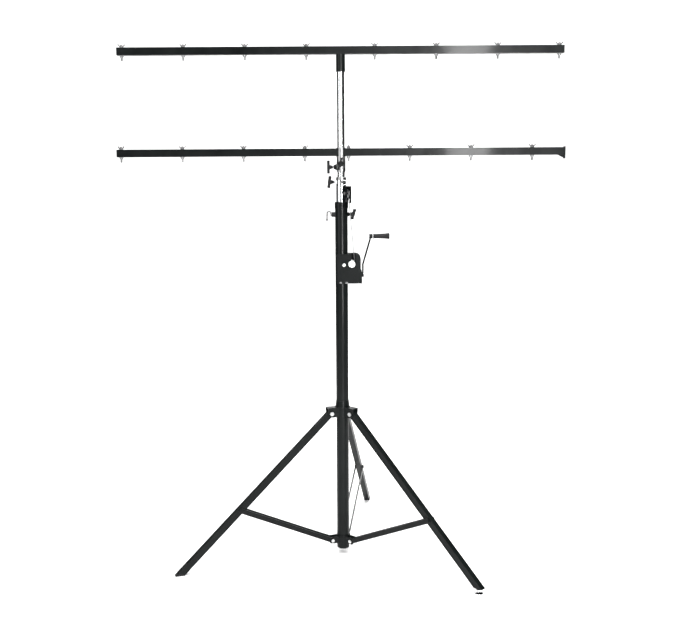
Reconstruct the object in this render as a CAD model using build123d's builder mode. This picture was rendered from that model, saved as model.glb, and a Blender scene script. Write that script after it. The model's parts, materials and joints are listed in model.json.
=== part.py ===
"""Crank lighting stand: folding tripod, winched three-stage mast, T-bar and sliding side bars.

Millimetres, +Z up. The origin is on the column's axis at the floor. +X points along the bars on the
crank's side and -Y is the front. Azimuths are degrees from +X, counter-clockwise from above.
"""

import os
from math import atan2, cos, degrees, hypot, radians, sin

from build123d import *

os.makedirs("parts", exist_ok=True)

# Fits
RUNNING = 0.08
SLIDING = 0.3
SEATED = 0.1
SNUG = 0.02

# Cuts through a wall start at this radius, inside every tube's bore, and run out past the wall
INSIDE = 15.0
PAST_WALL = 40.0

# Column and head
COLUMN_R = 25.4
COLUMN_BORE_R = 23.9
COLUMN_BOTTOM = 27.0
COLUMN_TOP = 1462.0
HEAD_R = 27.0
HEAD_BOTTOM = 1440.0
HEAD_TOP = 1466.0
HEAD_SCREW_Z = 1416.0
HEAD_KNOB_AZIMUTH = 20.0
PLUNGER_AZIMUTH = 180.0

# Mast
MIDDLE_R = 20.5
MIDDLE_BORE_R = 18.5
MIDDLE_BOTTOM = 75.0
MIDDLE_TOP = 1553.0
MIDDLE_BUSH_TOP = 1565.0
MAST_LOCK_Z = 1545.0
MAST_KNOB_AZIMUTH = 195.0
SAFETY_PIN_AZIMUTH = -90.0
SAFETY_PIN_R = 5.0
INNER_R = 15.0
INNER_BORE_R = 13.5
INNER_BOTTOM = 495.0
PIN_HOLE_R = 5.5
PIN_HOLE_PITCH = 261.0

# Bars
BAR_SIDE = 30.0
BAR_BORE = 26.0
T_BAR_HALF = 875.0
T_BAR_Z = 2055.0
T_BOLT_INNER_X = 134.0
T_BOLT_PITCH = 241.0
SOCKET_R = 18.0
SOCKET_BOTTOM = 1973.0
SLEEVE_R = 18.0
SLEEVE_BOTTOM = 1585.0
SLEEVE_TOP = 1681.0
SIDE_KNOB_Z = 1604.0
FRONT_KNOB_Z = 1616.0
FRONT_KNOB_AZIMUTH = -95.0
SIDE_BAR_Z = 1662.0
SIDE_BAR_END = 889.0
SIDE_BOLT_PITCH = 243.0
LEFT_BOLT_X = -873.0
RIGHT_BOLT_X = 30.0

# Tripod: each leg hangs from the sliding collar, and twin strut bars tie it to the bottom collar
REAR_AZIMUTH = 80.0
LEFT_AZIMUTH = 200.0
RIGHT_AZIMUTH = 320.0
AZIMUTHS = (REAR_AZIMUTH, LEFT_AZIMUTH, RIGHT_AZIMUTH)
LEG_SIDE = 25.0
LEG_BORE = 22.0
LEG_ANGLE = 46.7
PIVOT_R = 53.0
LEG_PIVOT_Z = 605.0
STRUT_PIVOT_Z = 63.0
LEG_TO_STRUT = 533.0
LEG_BOLT_R = 5.0
STRUT_BOLT_R = 4.0
STRUT_WIDTH = 20.0
STRUT_THICK = 3.0
STRUT_SIDE = 17.0
FOOT_HEIGHT = 8.0
JACK_CUT = 26.0
COLLAR_BOTTOM = 588.0
COLLAR_R = 29.0
COLLAR_KNOB_AZIMUTH = 140.0
COLLAR_KNOB_Z = 604.0
COLLAR_BOSS_R = 9.0
COLLAR_BOSS_END = 36.0

# Winch: cheeks stand in the XZ plane, the drum turns about Y and the crank about X
DRUM_X = 41.0
DRUM_Z = 1217.5
DRUM_R = 9.3
DRUM_FLANGE_R = 13.6
DRUM_END_Y = 25.4
DRUM_SHAFT_R = 6.0
CHEEK_IN = 26.0
CHEEK_OUT = 29.0
WINCH_LEFT = -18.0
WINCH_RIGHT = 82.0
WINCH_BOTTOM = 1140.0
WINCH_TOP = 1259.0
GEAR_Y = 42.0
GEAR_THICK = 12.0
WHEEL_TIP_R = 33.0
WHEEL_TEETH = 30
WORM_TIP_R = 11.7
WORM_ROOT_R = 8.7
COVER_BACK = 57.0
COVER_WALL = 2.5
CRANK_Z = 1172.5
CRANK_SHAFT_R = 6.0
CRANK_R = 153.5
CRANK_BEND_Z = 1212.0
CRANK_TOP_X = 119.5
ARM_IN = 83.0
ARM_OUT = 90.0
ARM_WIDTH = 20.0
GRIP_START = 129.0
GRIP_END = 195.0
BUSH_WALL = 2.5

# Cable and pulley
CABLE_R = 1.5
PULLEY_AZIMUTH = -56.0
PULLEY_Z = 1500.0
PULLEY_PITCH_R = 15.0
CABLE_INNER_R = 22.25
PULLEY_CENTRE_R = CABLE_INNER_R + PULLEY_PITCH_R
CHEEK_SIDE = 8.5
BRACKET_TOP = 1529.0
INNER_RUN_BOTTOM = 90.0
LIVE_LANE_Y = -10.0
LANE_PITCH = 3.1
DEAD_TURNS = 3
CABLE_ON_DRUM_R = DRUM_R + CABLE_R + SEATED

# Knobs
KNOB_SCREW_R = 4.0
KNOB_WING = 52.0
KNOB_WING_WIDTH = 11.0
KNOB_WING_THICK = 11.0
KNOB_HUB_LENGTH = 13.0
KNOB_NECK_R = 6.0
KNOB_HUB_R = 9.0
SLEEVE_KNOB_START = 32.0
MAST_KNOB_START = 30.0
HEAD_KNOB_START = 33.0
COLLAR_KNOB_START = 38.0

LEG_TURN = radians(LEG_ANGLE)
STRUT_TOP_R = PIVOT_R + LEG_TO_STRUT * sin(LEG_TURN)
STRUT_TOP_Z = LEG_PIVOT_Z - LEG_TO_STRUT * cos(LEG_TURN)
CRANK_TOP_Z = CRANK_Z + CRANK_R


def polar(radius, azimuth, height=0.0, side=0.0):
    """The point at a radius, azimuth and height, moved sideways along the tangent."""
    a = radians(azimuth)
    return Vector(radius * cos(a) - side * sin(a), radius * sin(a) + side * cos(a), height)


def outward(azimuth, height):
    """A plane on the axis that faces outward along an azimuth: local x is the tangent, y is up."""
    tangent = polar(0, azimuth, 0, 1)
    return Plane(polar(0, azimuth, height), x_dir=tangent, z_dir=polar(1, azimuth))


def sideways(azimuth, side=0.0, radius=0.0, height=0.0):
    """An upright plane at an azimuth that faces along the tangent: local x is inward, y is up."""
    tangent = polar(0, azimuth, 0, 1)
    return Plane(polar(radius, azimuth, height, side), x_dir=-polar(1, azimuth), z_dir=tangent)


def front(depth):
    """The plane y = depth, facing the front: local x is X and local y is Z."""
    return Plane((0, depth, 0), x_dir=(1, 0, 0), z_dir=(0, -1, 0))


def rod(plane, radius, start, end, mode=Mode.ADD):
    """Add a round rod along a plane's normal, between two distances from the plane."""
    with BuildSketch(plane.offset(start)) as section:
        Circle(radius)
    extrude(section.sketch, amount=end - start, mode=mode)


def cone(plane, start, start_radius, end, end_radius):
    """Add a round taper along a plane's normal."""
    with BuildSketch(plane.offset(start)) as first:
        Circle(start_radius)
    with BuildSketch(plane.offset(end)) as last:
        Circle(end_radius)
    loft([first.sketch, last.sketch])


def tube(outer_radius, inner_radius, bottom, top, mode=Mode.ADD):
    """Add a round tube on the stand's axis."""
    with BuildSketch(Plane.XY.offset(bottom)) as ring:
        Circle(outer_radius)
        Circle(inner_radius, mode=Mode.SUBTRACT)
    extrude(ring.sketch, amount=top - bottom, mode=mode)


def hexagon(plane, radius, start, end):
    """Add a hexagonal head or nut along a plane's normal."""
    with BuildSketch(plane.offset(start)) as section:
        RegularPolygon(radius, 6)
    extrude(section.sketch, amount=end - start)


def block(low, high, mode=Mode.ADD):
    """Add a box between two corners."""
    size = Vector(*high) - Vector(*low)
    centre = (Vector(*high) + Vector(*low)) * 0.5
    with Locations(centre):
        Box(size.X, size.Y, size.Z, mode=mode)


def plate(plane, points, thickness, mode=Mode.ADD):
    """Add a flat plate with a straight-sided outline, centred on its plane."""
    with BuildSketch(plane) as outline:
        Polygon(*points, align=None)
    extrude(outline.sketch, amount=thickness / 2, both=True, mode=mode)


def write(builder, name):
    """Label a finished part and save it."""
    builder.part.label = name
    export_step(builder.part, f"parts/{name}.step")


# Column -------------------------------------------------------------------------------------------

WINCH_SCREW_R = 4.0
WINCH_SCREW_START = 22.3
WINCH_HEAD_R = 6.5
WINCH_HEAD_THICK = 3.0
WINCH_SCREWS = ((9.5, 1215.0, -1), (-12.0, 1215.0, 1), (-12.0, 1160.0, 1))
HEAD_BOSS_R = 9.0
HEAD_BOSS_END = 31.0
PLUNGER_R = 3.6
HEAD_KNOB_AXIS = outward(HEAD_KNOB_AZIMUTH, HEAD_SCREW_Z)
PLUNGER_SIDE = outward(PLUNGER_AZIMUTH, HEAD_SCREW_Z)

with BuildPart() as column:
    rod(HEAD_KNOB_AXIS, HEAD_BOSS_R, INSIDE, HEAD_BOSS_END)
    rod(Plane.XY, COLUMN_R + SNUG, COLUMN_BOTTOM, COLUMN_TOP, Mode.SUBTRACT)
    tube(COLUMN_R, COLUMN_BORE_R, COLUMN_BOTTOM, COLUMN_TOP)
    rod(HEAD_KNOB_AXIS, KNOB_SCREW_R + RUNNING, INSIDE, PAST_WALL, Mode.SUBTRACT)
    rod(PLUNGER_SIDE, PLUNGER_R + RUNNING, INSIDE, PAST_WALL, Mode.SUBTRACT)
    for x, z, facing in WINCH_SCREWS:
        screw_side = Plane((x, 0, z), z_dir=(0, facing, 0))
        rod(screw_side, WINCH_SCREW_R + RUNNING, INSIDE, PAST_WALL, Mode.SUBTRACT)
write(column, "column")

with BuildPart() as column_foot_cap:
    rod(Plane.XY, COLUMN_R, COLUMN_BOTTOM - 4, COLUMN_BOTTOM)
    chamfer(column_foot_cap.edges().group_by(Axis.Z)[0], 2)
    rod(Plane.XY, COLUMN_BORE_R - SEATED, COLUMN_BOTTOM, COLUMN_BOTTOM + 15)
write(column_foot_cap, "column_foot_cap")

with BuildPart() as column_head:
    tube(HEAD_R, COLUMN_R + SEATED, HEAD_BOTTOM, HEAD_TOP)
    chamfer(column_head.edges().group_by(Axis.Z)[0], 0.6)
write(column_head, "column_head")

CABLE_SLOT = 4.4

with BuildPart() as head_guide_bush:
    tube(COLUMN_BORE_R - SEATED, MIDDLE_R + SLIDING, HEAD_BOTTOM - 10, COLUMN_TOP)
    tube(COLUMN_R, MIDDLE_R + SLIDING, COLUMN_TOP, HEAD_TOP)
    with BuildSketch(outward(PULLEY_AZIMUTH, HEAD_TOP - 20).offset(INSIDE)):
        Rectangle(CABLE_SLOT, 60)
    extrude(amount=CABLE_INNER_R + CABLE_SLOT / 2 - INSIDE, mode=Mode.SUBTRACT)
write(head_guide_bush, "head_guide_bush")

# Sprung plunger on the head ------------------------------------------------------------------------

BARREL_R = 10.0
BARREL_END = 39.5
CAVITY_START = 27.0
CAVITY_END = 37.5
CAVITY_R = 6.5
PLUNGER_COLLAR_END = 28.5
LEVER_R = 3.0
LEVER_BALL_R = 5.0
LEVER_PATH = ((-43, 0, 1417), (-43, 0, 1429), (-57, 0, 1426), (-58, 0, 1395))

with BuildPart() as plunger_barrel:
    rod(PLUNGER_SIDE, BARREL_R, INSIDE, BARREL_END)
    chamfer(plunger_barrel.edges().group_by(Axis.X)[0], 1.5)
    rod(PLUNGER_SIDE, CAVITY_R, CAVITY_START, CAVITY_END, Mode.SUBTRACT)
    rod(PLUNGER_SIDE, PLUNGER_R + RUNNING, INSIDE, PAST_WALL, Mode.SUBTRACT)
    rod(Plane.XY, COLUMN_R + SEATED, HEAD_SCREW_Z - 15, HEAD_SCREW_Z + 15, Mode.SUBTRACT)
write(plunger_barrel, "plunger_barrel")

with BuildPart() as plunger_pin:
    rod(PLUNGER_SIDE, PLUNGER_R, MIDDLE_R + 0.6, 43)
    rod(PLUNGER_SIDE, CAVITY_R - 0.4, CAVITY_START + 0.1, PLUNGER_COLLAR_END)
    rod(PLUNGER_SIDE, 7, BARREL_END + 0.2, BARREL_END + 4.5)
    with BuildLine():
        FilletPolyline(*LEVER_PATH, radius=5)
    with BuildSketch(Plane(LEVER_PATH[0], z_dir=(0, 0, 1))):
        Circle(LEVER_R)
    sweep()
    with Locations(LEVER_PATH[-1]):
        Sphere(LEVER_BALL_R)
write(plunger_pin, "plunger_pin")

SPRING_R = 5.2
SPRING_WIRE_R = 0.4
SPRING_TURNS = 3

with BuildPart() as plunger_spring:
    spring_start = PLUNGER_COLLAR_END + SPRING_WIRE_R + SEATED
    spring_length = CAVITY_END - SPRING_WIRE_R - SEATED - spring_start
    with BuildLine() as coil:
        Helix(spring_length / SPRING_TURNS, spring_length, SPRING_R,
              center=(-spring_start, 0, HEAD_SCREW_Z), direction=(-1, 0, 0))
    with BuildSketch(Plane(coil.line @ 0, z_dir=coil.line % 0)):
        Circle(SPRING_WIRE_R)
    sweep(is_frenet=True)
write(plunger_spring, "plunger_spring")

# Pulley and its bracket ------------------------------------------------------------------------------

GUARD_IN = 54.0
GUARD_OUT = 57.0
BRACKET_SHEET = 3.0
BRACKET_SIDE = CHEEK_SIDE + BRACKET_SHEET / 2
STRAP_WIDTH = 7.0
STRAP_BOTTOM = HEAD_TOP - 4
CHEEK_OUTLINE = (
    (-24, 1444),
    (-34, 1444),
    (-35, 1474),
    (-GUARD_IN, 1486),
    (-GUARD_IN, BRACKET_TOP),
    (-22, BRACKET_TOP),
    (-22, 1484),
    (-24, 1466),
)

with BuildPart() as pulley_bracket:
    for side in (-CHEEK_SIDE, CHEEK_SIDE):
        plate(sideways(PULLEY_AZIMUTH, side), CHEEK_OUTLINE, BRACKET_SHEET)
    # the strip over the pulley, and the strap down its outer side
    with BuildSketch(outward(PULLEY_AZIMUTH, BRACKET_TOP - BRACKET_SHEET / 2).offset(22)):
        Rectangle(2 * BRACKET_SIDE, BRACKET_SHEET)
    extrude(amount=GUARD_OUT - 22)
    with BuildSketch(outward(PULLEY_AZIMUTH, (BRACKET_TOP + STRAP_BOTTOM) / 2).offset(GUARD_IN)):
        with Locations((BRACKET_SIDE - STRAP_WIDTH / 2, 0)):
            Rectangle(STRAP_WIDTH, BRACKET_TOP - STRAP_BOTTOM)
    extrude(amount=GUARD_OUT - GUARD_IN)
    rod(sideways(PULLEY_AZIMUTH, 0, PULLEY_CENTRE_R, PULLEY_Z), STRUT_BOLT_R + RUNNING,
        -20, 20, Mode.SUBTRACT)
    rod(Plane.XY, HEAD_R + SEATED, HEAD_BOTTOM - 5, HEAD_TOP, Mode.SUBTRACT)
write(pulley_bracket, "pulley_bracket")

PULLEY_SIDE = sideways(PULLEY_AZIMUTH, 0, PULLEY_CENTRE_R, PULLEY_Z)
PULLEY_RIM_R = PULLEY_PITCH_R + 1.3
GROOVE_R = PULLEY_PITCH_R - CABLE_R - SEATED
AXLE_R = STRUT_BOLT_R
AXLE_HEAD_R = 6.5
AXLE_NUT_R = 7.2
RIM_THICK = 1.1
RIM_SIDE = 4.5
GROOVE_SIDE = 1.7

with BuildPart() as pulley:
    rod(PULLEY_SIDE, 8, -CHEEK_SIDE + 1.8, CHEEK_SIDE - 1.8)
    rod(PULLEY_SIDE, GROOVE_R, -RIM_SIDE, RIM_SIDE)
    for side in (-1, 1):
        cone(PULLEY_SIDE, side * GROOVE_SIDE, GROOVE_R, side * (RIM_SIDE - RIM_THICK), PULLEY_RIM_R)
        rod(PULLEY_SIDE, PULLEY_RIM_R, side * (RIM_SIDE - RIM_THICK), side * RIM_SIDE)
    rod(PULLEY_SIDE, AXLE_R + RUNNING, -20, 20, Mode.SUBTRACT)
write(pulley, "pulley")

with BuildPart() as pulley_axle:
    rod(PULLEY_SIDE, AXLE_R, -BRACKET_SIDE - 2, BRACKET_SIDE + 6)
    rod(PULLEY_SIDE, AXLE_HEAD_R, -BRACKET_SIDE - 4.5, -BRACKET_SIDE)
    hexagon(PULLEY_SIDE, AXLE_NUT_R, BRACKET_SIDE, BRACKET_SIDE + 5)
write(pulley_axle, "pulley_axle")

# Lift cable ------------------------------------------------------------------------------------------

CABLE_LEAD = 14.0

pulley_in = polar(CABLE_INNER_R, PULLEY_AZIMUTH, PULLEY_Z)
pulley_over = polar(PULLEY_CENTRE_R, PULLEY_AZIMUTH, PULLEY_Z + PULLEY_PITCH_R)
pulley_out = polar(PULLEY_CENTRE_R + PULLEY_PITCH_R, PULLEY_AZIMUTH, PULLEY_Z)
drum_in = Vector(DRUM_X + CABLE_ON_DRUM_R, LIVE_LANE_Y, DRUM_Z)
drum_under = Vector(DRUM_X, LIVE_LANE_Y, DRUM_Z - CABLE_ON_DRUM_R)
drum_out = Vector(DRUM_X - CABLE_ON_DRUM_R, LIVE_LANE_Y, DRUM_Z)
lead = Vector(0, 0, CABLE_LEAD)

with BuildPart() as lift_cable:
    with BuildLine():
        ThreePointArc(pulley_in, pulley_over, pulley_out)
        FilletPolyline(pulley_out, pulley_out - lead, drum_in + lead, drum_in, radius=80)
        ThreePointArc(drum_in, drum_under, drum_out)
    with BuildSketch(Plane(pulley_in, z_dir=(0, 0, 1))):
        Circle(CABLE_R)
    sweep()
write(lift_cable, "lift_cable")

with BuildPart() as lift_cable_inner_run:
    rod(Plane(polar(CABLE_INNER_R, PULLEY_AZIMUTH)), CABLE_R, INNER_RUN_BOTTOM, PULLEY_Z)
write(lift_cable_inner_run, "lift_cable_inner_run")

with BuildPart() as cable_wraps:
    for turn in range(1, DEAD_TURNS + 1):
        lane_y = LIVE_LANE_Y - turn * LANE_PITCH
        with Locations(Plane((DRUM_X, lane_y, DRUM_Z), z_dir=(0, 1, 0))):
            Torus(CABLE_ON_DRUM_R, CABLE_R)
write(cable_wraps, "cable_wraps")

# Winch frame and gear cover ----------------------------------------------------------------------------

NECK_X = 77.0
NECK_Z = 1190.0
WINDOW_R = 14.6
SLOT_LEFT = 38.0
SLOT_RIGHT = 56.0
SADDLE_TOP = 1196.0
CORNER_R = 20.0
WHEEL_AXIS = Plane((DRUM_X, 0, DRUM_Z), z_dir=(0, 1, 0))


def winch_outline(left, inset=0.0):
    """The winch's side view, drawn in from its edge by an inset."""
    with BuildSketch() as drawn:
        Polygon(
            (left, WINCH_BOTTOM + inset),
            (WINCH_RIGHT - inset, WINCH_BOTTOM + inset),
            (WINCH_RIGHT - inset, NECK_Z - 5),
            (NECK_X - inset, NECK_Z + 5),
            (NECK_X - inset, WINCH_TOP - inset),
            (left, WINCH_TOP - inset),
            align=None,
        )
        round_corner = drawn.vertices().group_by(Axis.Y)[-1].sort_by(Axis.X)[-1]
        fillet(round_corner, CORNER_R - inset)
    return drawn.sketch


with BuildPart() as winch_frame:
    for depth in (-CHEEK_IN, CHEEK_OUT):
        with BuildSketch(front(depth)):
            add(winch_outline(WINCH_LEFT))
        extrude(amount=CHEEK_OUT - CHEEK_IN)
    # a saddle joins the cheeks beside the column, below the drum
    block((COLUMN_R + 0.5, -CHEEK_OUT, WINCH_BOTTOM), (COLUMN_R + 3.5, CHEEK_OUT, SADDLE_TOP))
    # the front cheek is open over the drum's end, with a slot up to its top edge
    rod(WHEEL_AXIS, WINDOW_R, -31, -25, Mode.SUBTRACT)
    block((SLOT_LEFT, -31, DRUM_Z), (SLOT_RIGHT, -25, WINCH_TOP + 1), Mode.SUBTRACT)
    rod(WHEEL_AXIS, DRUM_SHAFT_R + BUSH_WALL, 25, 31, Mode.SUBTRACT)
    for x, z, facing in WINCH_SCREWS:
        rod(Plane((x, 0, z), z_dir=(0, facing, 0)), WINCH_SCREW_R + RUNNING, INSIDE, PAST_WALL, Mode.SUBTRACT)
write(winch_frame, "winch_frame")

COVER_LEFT = -4.0
CRANK_AXIS = Plane((0, GEAR_Y, CRANK_Z), z_dir=(1, 0, 0))

with BuildPart() as gear_cover:
    with BuildSketch(front(COVER_BACK)):
        add(winch_outline(COVER_LEFT))
    extrude(amount=COVER_BACK - CHEEK_OUT)
    with BuildSketch(front(COVER_BACK - COVER_WALL)):
        add(winch_outline(COVER_LEFT + COVER_WALL, COVER_WALL))
    extrude(amount=COVER_BACK - COVER_WALL - CHEEK_OUT, mode=Mode.SUBTRACT)
    rod(WHEEL_AXIS, DRUM_SHAFT_R + BUSH_WALL, 50, 60, Mode.SUBTRACT)
    rod(CRANK_AXIS, CRANK_SHAFT_R + BUSH_WALL, COVER_LEFT - 1, WINCH_RIGHT + 1, Mode.SUBTRACT)
write(gear_cover, "gear_cover")

with BuildPart() as winch_bushes:
    for axis, radius, start, end in (
        (WHEEL_AXIS, DRUM_SHAFT_R, CHEEK_IN, CHEEK_OUT),
        (WHEEL_AXIS, DRUM_SHAFT_R, COVER_BACK - COVER_WALL, COVER_BACK),
        (CRANK_AXIS, CRANK_SHAFT_R, COVER_LEFT, COVER_LEFT + COVER_WALL),
        (CRANK_AXIS, CRANK_SHAFT_R, WINCH_RIGHT - COVER_WALL, WINCH_RIGHT),
    ):
        rod(axis, radius + BUSH_WALL - SNUG, start, end)
        rod(axis, radius + RUNNING, start, end, Mode.SUBTRACT)
write(winch_bushes, "winch_bushes")

with BuildPart() as winch_bolts:
    for x, z, facing in WINCH_SCREWS:
        screw_side = Plane((x, 0, z), z_dir=(0, facing, 0))
        rod(screw_side, WINCH_SCREW_R, WINCH_SCREW_START, CHEEK_OUT)
        rod(screw_side, WINCH_HEAD_R, CHEEK_OUT, CHEEK_OUT + WINCH_HEAD_THICK)
write(winch_bolts, "winch_bolts")

# Drum, wheel and shaft ---------------------------------------------------------------------------------

FLANGE_THICK = 2.0
DRUM_END_WALL = 4.0
TOOTH_DEPTH = 3.5
TOOTH_WIDTH = 3.3
WHEEL_HUB_R = 11.0

with BuildPart() as cable_drum:
    rod(WHEEL_AXIS, DRUM_R, -DRUM_END_Y, DRUM_END_Y)
    for side in (-1, 1):
        rod(WHEEL_AXIS, DRUM_FLANGE_R, side * (DRUM_END_Y - FLANGE_THICK), side * DRUM_END_Y)
    rod(WHEEL_AXIS, DRUM_SHAFT_R + SNUG, -DRUM_END_Y + DRUM_END_WALL, PAST_WALL, Mode.SUBTRACT)
write(cable_drum, "cable_drum")

with BuildPart() as drum_shaft:
    rod(WHEEL_AXIS, DRUM_SHAFT_R, -DRUM_END_Y + DRUM_END_WALL + SEATED, COVER_BACK + 2)
write(drum_shaft, "drum_shaft")

with BuildPart() as worm_wheel:
    with BuildSketch(WHEEL_AXIS.offset(GEAR_Y - GEAR_THICK / 2)):
        Circle(WHEEL_TIP_R - TOOTH_DEPTH)
        with PolarLocations(WHEEL_TIP_R - TOOTH_DEPTH / 2, WHEEL_TEETH):
            Rectangle(TOOTH_DEPTH + 2, TOOTH_WIDTH)
        Circle(WHEEL_TIP_R - 0.05, mode=Mode.INTERSECT)
        Circle(DRUM_SHAFT_R + SNUG, mode=Mode.SUBTRACT)
    extrude(amount=GEAR_THICK)
    for start, end in ((CHEEK_OUT + 0.5, GEAR_Y), (GEAR_Y, COVER_BACK - COVER_WALL - 0.5)):
        rod(WHEEL_AXIS, WHEEL_HUB_R, start, end)
    rod(WHEEL_AXIS, DRUM_SHAFT_R + SNUG, 25, 60, Mode.SUBTRACT)
write(worm_wheel, "worm_wheel")

# Crank ---------------------------------------------------------------------------------------------------

WORM_LENGTH = 40.0
WORM_PITCH = 7.0
WORM_THREAD = 2.4

with BuildPart() as worm_shaft:
    with BuildLine() as thread:
        Helix(WORM_PITCH, WORM_LENGTH, WORM_ROOT_R,
              center=(DRUM_X - WORM_LENGTH / 2, GEAR_Y, CRANK_Z), direction=(1, 0, 0))
    with BuildSketch(Plane(thread.line @ 0, x_dir=(1, 0, 0), z_dir=thread.line % 0)):
        Rectangle(WORM_THREAD, 2 * (WORM_TIP_R - WORM_ROOT_R))
    sweep(is_frenet=True)
    rod(CRANK_AXIS, WORM_ROOT_R, DRUM_X - WORM_LENGTH / 2 - 4, DRUM_X + WORM_LENGTH / 2 + 4)
    rod(CRANK_AXIS, CRANK_SHAFT_R, COVER_LEFT - 2, ARM_OUT + 6)
write(worm_shaft, "worm_shaft")

ARM_THICK = ARM_OUT - ARM_IN
HUB_R = 13.0
EYE_R = 9.5
EYE_LENGTH = 14.0
CRANK_NUT_R = 11.0
CRANK_NUT_THICK = 5.0
GRIP_AXIS = Plane((0, GEAR_Y, CRANK_TOP_Z), z_dir=(1, 0, 0))

with BuildPart() as crank_arm:
    middle_x = (ARM_IN + ARM_OUT) / 2
    slant = atan2(CRANK_TOP_X - middle_x, CRANK_TOP_Z - CRANK_BEND_Z)
    across = ARM_THICK / 2 * cos(slant)
    lift = ARM_THICK / 2 * sin(slant)
    with BuildSketch(front(GEAR_Y)) as arm_side:
        Polygon(
            (ARM_IN, CRANK_Z),
            (ARM_OUT, CRANK_Z),
            (ARM_OUT, CRANK_BEND_Z),
            (CRANK_TOP_X + across, CRANK_TOP_Z - lift),
            (CRANK_TOP_X - across, CRANK_TOP_Z + lift),
            (ARM_IN, CRANK_BEND_Z),
            align=None,
        )
    extrude(amount=ARM_WIDTH / 2, both=True)
    rod(CRANK_AXIS, HUB_R, ARM_IN, ARM_OUT)
    rod(GRIP_AXIS, EYE_R, CRANK_TOP_X - EYE_LENGTH / 2, CRANK_TOP_X + EYE_LENGTH / 2)
    rod(CRANK_AXIS, CRANK_SHAFT_R + SNUG, ARM_IN - 1, ARM_OUT + 1, Mode.SUBTRACT)
    rod(GRIP_AXIS, STRUT_BOLT_R + SNUG, CRANK_TOP_X - 20, CRANK_TOP_X + 20, Mode.SUBTRACT)
write(crank_arm, "crank_arm")

with BuildPart() as crank_nut:
    hexagon(CRANK_AXIS, CRANK_NUT_R, ARM_OUT, ARM_OUT + CRANK_NUT_THICK)
    rod(CRANK_AXIS, CRANK_SHAFT_R + SNUG, ARM_OUT - 1, ARM_OUT + 7, Mode.SUBTRACT)
write(crank_nut, "crank_nut")

GRIP_BOLT_R = STRUT_BOLT_R
GRIP_BORE_R = GRIP_BOLT_R + RUNNING
GRIP_HEAD_R = 7.0
GRIP_HEAD_THICK = 3.0
GRIP_NUT_THICK = 4.0
HEAD_SUNK = 2.0
GRIP_NECK_R = 9.0
GRIP_RIM_R = 11.0
GRIP_BUTT_R = 12.5

with BuildPart() as grip_bolt:
    eye_back = CRANK_TOP_X - EYE_LENGTH / 2
    rod(GRIP_AXIS, GRIP_BOLT_R, eye_back - GRIP_NUT_THICK, GRIP_END - HEAD_SUNK)
    hexagon(GRIP_AXIS, GRIP_HEAD_R, eye_back - GRIP_NUT_THICK, eye_back)
    rod(GRIP_AXIS, GRIP_HEAD_R, GRIP_END - HEAD_SUNK - GRIP_HEAD_THICK, GRIP_END - HEAD_SUNK)
write(grip_bolt, "grip_bolt")

with BuildPart() as crank_grip:
    rod(GRIP_AXIS, GRIP_RIM_R, GRIP_START, GRIP_START + 4)
    cone(GRIP_AXIS, GRIP_START + 4, GRIP_NECK_R, GRIP_END - 16, GRIP_RIM_R)
    cone(GRIP_AXIS, GRIP_END - 16, GRIP_RIM_R, GRIP_END - 6, GRIP_BUTT_R)
    rod(GRIP_AXIS, GRIP_BUTT_R, GRIP_END - 6, GRIP_END)
    fillet(crank_grip.edges().group_by(Axis.X)[-1], 2)
    rod(GRIP_AXIS, GRIP_BORE_R, GRIP_START - 1, GRIP_END + 1, Mode.SUBTRACT)
    recess = GRIP_END - HEAD_SUNK - GRIP_HEAD_THICK - SLIDING
    rod(GRIP_AXIS, GRIP_HEAD_R + 0.4, recess, GRIP_END + 1, Mode.SUBTRACT)
write(crank_grip, "crank_grip")

# Mast ------------------------------------------------------------------------------------------------------

MAST_KNOB_AXIS = outward(MAST_KNOB_AZIMUTH, MAST_LOCK_Z)
PIN_AXIS = outward(SAFETY_PIN_AZIMUTH, MAST_LOCK_Z)
WELD_NUT_END = 26.5
WELD_NUT_R = 7.8
TOP_BUSH_DEPTH = 26.0
TOP_BUSH_CHAMFER = 2.5
FOOT_BUSH_HEIGHT = 40.0
INNER_BUSH_HEIGHT = 35.0

with BuildPart() as middle_tube:
    hexagon(MAST_KNOB_AXIS, WELD_NUT_R, INSIDE, WELD_NUT_END)
    rod(Plane.XY, MIDDLE_R + SNUG, MIDDLE_BOTTOM, MIDDLE_BUSH_TOP, Mode.SUBTRACT)
    tube(MIDDLE_R, MIDDLE_BORE_R, MIDDLE_BOTTOM, MIDDLE_TOP)
    rod(MAST_KNOB_AXIS, KNOB_SCREW_R + RUNNING, INSIDE, PAST_WALL, Mode.SUBTRACT)
    rod(PIN_AXIS, SAFETY_PIN_R + RUNNING, INSIDE, PAST_WALL, Mode.SUBTRACT)
write(middle_tube, "middle_tube")

with BuildPart() as middle_top_bush:
    tube(MIDDLE_R, INNER_R + SLIDING, MIDDLE_TOP, MIDDLE_BUSH_TOP)
    chamfer(middle_top_bush.edges().group_by(Axis.Z)[-1].sort_by(SortBy.RADIUS)[-1], TOP_BUSH_CHAMFER)
    tube(MIDDLE_BORE_R - SEATED, INNER_R + SLIDING, MIDDLE_TOP - TOP_BUSH_DEPTH, MIDDLE_TOP)
    rod(MAST_KNOB_AXIS, KNOB_SCREW_R + RUNNING, INSIDE, PAST_WALL, Mode.SUBTRACT)
    rod(PIN_AXIS, SAFETY_PIN_R + RUNNING, INSIDE, PAST_WALL, Mode.SUBTRACT)
write(middle_top_bush, "middle_top_bush")

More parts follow.
